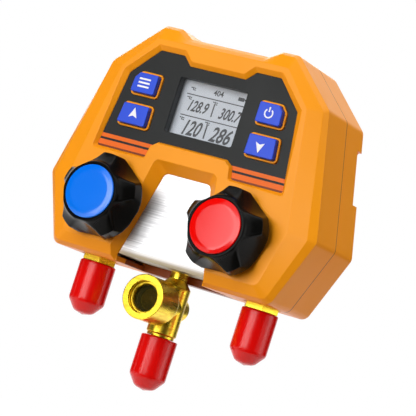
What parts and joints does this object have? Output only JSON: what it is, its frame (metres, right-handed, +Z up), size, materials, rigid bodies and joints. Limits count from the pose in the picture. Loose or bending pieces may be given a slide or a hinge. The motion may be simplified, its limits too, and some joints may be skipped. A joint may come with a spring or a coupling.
{
  "type": "digital refrigerant manifold gauge",
  "caption": "Digital refrigerant manifold gauge with a display, keys, low and high side handwheels, capped hose ports, a sight glass and a folding hook.",
  "frame": {"origin": "on the flat back face of the housing, on its middle line, in the strip between the hook and the battery door", "axes": "+X to the right seen from the front, +Y out of the back, +Z up along the housing towards the hook"},
  "size_m": [0.1506, 0.0712, 0.1734],
  "materials": {
    "orange_shell": "satin",
    "black_panel": "matte",
    "dark_plastic": "matte",
    "clear_lens": "clear",
    "lcd": "satin",
    "blue_key": "satin",
    "board": "matte",
    "grey_rubber": "matte",
    "black_rubber": "matte",
    "steel": "satin",
    "block_aluminium": "brushed",
    "brass": "polished",
    "black_wheel": "satin",
    "blue_disc": "satin",
    "red_disc": "satin",
    "red_cap": "satin",
    "cell": "satin"
  },
  "bodies": {
    "housing": {"front_shell": "orange_shell", "rear_shell": "orange_shell", "faceplate": "black_panel", "display_bezel": "dark_plastic", "display_lens": "clear_lens", "lcd_panel": "lcd", "main_circuit_board": "board", "board_screws": "steel", "keypad_membrane": "grey_rubber", "manifold_block": "block_aluminium", "gallery_plugs": "brass", "low_bonnet": "brass", "high_bonnet": "brass", "low_pressure_sensor": "steel", "high_pressure_sensor": "steel", "low_hose_port": "brass", "high_hose_port": "brass", "sight_glass_tee": "brass", "sight_glass": "clear_lens", "sight_glass_retainer": "brass", "sight_glass_seal": "black_rubber", "tee_plug": "brass", "battery_cells": "cell", "battery_contacts": "steel", "hook_pin": "steel", "housing_screws": "steel"},
    "low_valve_piston": {"low_piston": "brass", "low_piston_seal": "black_rubber"},
    "low_wheel_and_stem": {"low_stem": "steel", "low_handwheel": "black_wheel", "low_wheel_disc": "blue_disc", "low_wheel_screw": "steel"},
    "low_cap": {"low_port_cap": "red_cap"},
    "high_valve_piston": {"high_piston": "brass", "high_piston_seal": "black_rubber"},
    "high_wheel_and_stem": {"high_stem": "steel", "high_handwheel": "black_wheel", "high_wheel_disc": "red_disc", "high_wheel_screw": "steel"},
    "high_cap": {"high_port_cap": "red_cap"},
    "centre_cap": {"centre_port_cap": "red_cap"},
    "menu_key_body": {"menu_key": "blue_key"},
    "up_key_body": {"up_key": "blue_key"},
    "power_key_body": {"power_key": "blue_key"},
    "down_key_body": {"down_key": "blue_key"},
    "hook": {"folding_hook": "dark_plastic"},
    "door": {"battery_door": "orange_shell"}
  },
  "joints": [
    {"name": "low_valve_lift", "type": "slide", "parent": "housing", "child": "low_valve_piston", "axis": [0, -1, 0], "range_m": [0, 0.006]},
    {"name": "low_wheel_turn", "type": "hinge", "parent": "low_valve_piston", "child": "low_wheel_and_stem", "pos_m": [-0.03535, -0.0492, -0.0329], "axis": [0, -1, 0], "range_deg": [0, 721]},
    {"name": "low_cap_pull", "type": "slide", "parent": "housing", "child": "low_cap", "axis": [0, 0, -1], "range_m": [0, 0.02]},
    {"name": "high_valve_lift", "type": "slide", "parent": "housing", "child": "high_valve_piston", "axis": [0, -1, 0], "range_m": [0, 0.006]},
    {"name": "high_wheel_turn", "type": "hinge", "parent": "high_valve_piston", "child": "high_wheel_and_stem", "pos_m": [0.03535, -0.0492, -0.0329], "axis": [0, -1, 0], "range_deg": [0, 721]},
    {"name": "high_cap_pull", "type": "slide", "parent": "housing", "child": "high_cap", "axis": [0, 0, -1], "range_m": [0, 0.02]},
    {"name": "centre_cap_pull", "type": "slide", "parent": "housing", "child": "centre_cap", "axis": [0, 0, -1], "range_m": [0, 0.02]},
    {"name": "menu_key_press", "type": "slide", "parent": "housing", "child": "menu_key_body", "axis": [0, 1, 0], "range_m": [0, 0.0015], "stiffness_N_per_m": 400},
    {"name": "up_key_press", "type": "slide", "parent": "housing", "child": "up_key_body", "axis": [0, 1, 0], "range_m": [0, 0.0015], "stiffness_N_per_m": 400},
    {"name": "power_key_press", "type": "slide", "parent": "housing", "child": "power_key_body", "axis": [0, 1, 0], "range_m": [0, 0.0015], "stiffness_N_per_m": 400},
    {"name": "down_key_press", "type": "slide", "parent": "housing", "child": "down_key_body", "axis": [0, 1, 0], "range_m": [0, 0.0015], "stiffness_N_per_m": 400},
    {"name": "hook_fold", "type": "hinge", "parent": "housing", "child": "hook", "pos_m": [0, -0.0026, 0.0405], "axis": [1, 0, 0], "range_deg": [0, 180]},
    {"name": "battery_door_lift", "type": "slide", "parent": "housing", "child": "door", "axis": [0, 1, 0], "range_m": [0, 0.02]}
  ],
  "couplings": [
    {"joint": "low_wheel_turn", "follows": "low_valve_lift", "rad_per_m": 2094.4},
    {"joint": "high_wheel_turn", "follows": "high_valve_lift", "rad_per_m": 2094.4}
  ]
}
